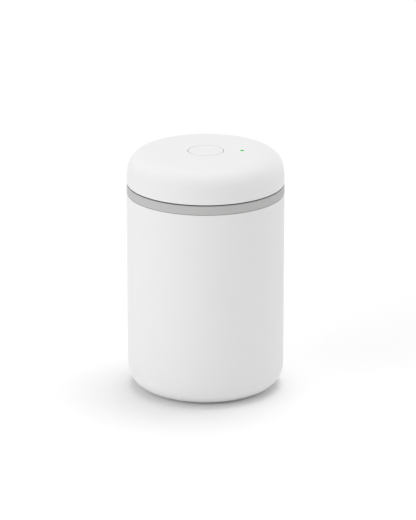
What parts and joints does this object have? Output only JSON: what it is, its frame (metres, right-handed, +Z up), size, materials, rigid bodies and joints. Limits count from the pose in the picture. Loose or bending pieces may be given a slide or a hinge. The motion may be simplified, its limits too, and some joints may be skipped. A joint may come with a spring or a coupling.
{
  "type": "vacuum seal canister",
  "caption": "Round white food canister with a grey rim collar and a lift-off pump lid: soft rounded corners, flush push button and a small green lamp on top.",
  "frame": {"origin": "on the floor, under the middle of the foot pad", "axes": "+Z up along the axis of the cup, -Y towards the plain front that faces the viewer, +X towards the side of the lamp, +Y towards the charging port"},
  "size_m": [0.12, 0.12, 0.1874],
  "materials": {
    "coated_steel": "matte white powder coat",
    "white_shell": "matte white moulded plastic",
    "collar_grey": "matte light grey moulded plastic",
    "button_white": "matte white moulded plastic",
    "chassis_white": "moulded plastic",
    "gasket_dark": "dark silicone",
    "gasket_clear": "grey silicone",
    "foot_rubber": "dark rubber",
    "light_green": "clear plastic lit green",
    "lamp": "moulded lamp",
    "board_green": "solder mask",
    "chip_black": "moulded package",
    "switch_black": "moulded plastic",
    "tin_steel": "tinned steel",
    "screw_steel": "zinc plated",
    "spring_steel": "drawn wire",
    "bronze": "sintered bronze",
    "copper": "enamelled winding",
    "battery_wrap": "shrink wrap over a steel can",
    "pump_plastic": "moulded plastic",
    "hose_clear": "silicone hose",
    "rubber_black": "black rubber",
    "magnet_grey": "ferrite",
    "foam": "foam",
    "felt": "felt"
  },
  "bodies": {
    "canister": {"canister_body": "coated_steel", "foot_pad": "foot_rubber", "rim_collar": "collar_grey"},
    "lid": {"lid_cover": "white_shell", "lid_chassis": "chassis_white", "lip_gasket": "gasket_clear", "landing_gasket": "gasket_dark", "cover_screws": "screw_steel", "screw_plugs": "gasket_clear", "button_spring": "spring_steel", "main_board": "board_green", "board_screws": "screw_steel", "board_chips": "chip_black", "tact_switch": "switch_black", "status_led": "lamp", "light_pipe": "light_green", "charge_port": "tin_steel", "port_tongue": "switch_black", "pressure_sensor": "chip_black", "battery_cell": "battery_wrap", "battery_holder": "pump_plastic", "battery_contacts": "tin_steel", "air_manifold": "pump_plastic", "manifold_seal": "rubber_black", "mount_screws": "screw_steel", "sensor_hose": "hose_clear", "vent_hose": "hose_clear", "pump_hose": "hose_clear", "pump_frame": "pump_plastic", "pump_head": "pump_plastic", "valve_disc": "rubber_black", "pump_head_cover": "pump_plastic", "pump_screws": "screw_steel", "diaphragm": "rubber_black", "motor_can": "tin_steel", "motor_magnets": "magnet_grey", "motor_end_cap": "pump_plastic", "motor_bushings": "bronze", "motor_saddle": "foam", "valve_body": "pump_plastic", "solenoid_frame": "tin_steel", "solenoid_coil": "copper", "solenoid_core": "screw_steel", "solenoid_spring": "spring_steel"},
    "button": {"button_cap": "button_white"},
    "switch_stem": {"switch_stem": "switch_black"},
    "pump_rotor": {"motor_shaft": "spring_steel", "motor_armature": "copper", "crank": "bronze"},
    "pump_rod": {"connecting_rod": "chassis_white", "clamp_disc": "tin_steel"},
    "valve_plunger": {"solenoid_plunger": "screw_steel", "vent_seal": "rubber_black"},
    "filter_cap": {"filter_cap": "chassis_white", "filter_screen": "felt"}
  },
  "joints": [
    {"name": "lid_lift", "type": "slide", "parent": "canister", "child": "lid", "axis": [0, 0, 1], "range_m": [0, 0.08]},
    {"name": "button_press", "type": "slide", "parent": "lid", "child": "button", "axis": [0, 0, -1], "range_m": [0, 0.0005], "stiffness_N_per_m": 300, "springref_m": -0.003, "deforming": ["button_spring"]},
    {"name": "stem_press", "type": "slide", "parent": "lid", "child": "switch_stem", "axis": [0, 0, -1], "range_m": [0, 0.0005], "stiffness_N_per_m": 8, "springref_m": -0.001},
    {"name": "pump_turn", "type": "hinge", "parent": "lid", "child": "pump_rotor", "pos_m": [-0.031, 0.001, 0.16105], "axis": [0, 1, 0], "continuous": true},
    {"name": "rod_stroke", "type": "slide", "parent": "lid", "child": "pump_rod", "axis": [0, 0, 1], "range_m": [-0.0012, 0.0012], "stiffness_N_per_m": 150, "deforming": ["diaphragm"]},
    {"name": "valve_open", "type": "slide", "parent": "lid", "child": "valve_plunger", "axis": [0, 0, 1], "range_m": [0, 0.0012], "stiffness_N_per_m": 200, "springref_m": -0.003, "deforming": ["solenoid_spring"]},
    {"name": "filter_cap_pull", "type": "slide", "parent": "lid", "child": "filter_cap", "axis": [0, 0, -1], "range_m": [0, 0.02]}
  ],
  "couplings": [
    {"joint": "stem_press", "follows": "button_press", "ratio": 1}
  ]
}
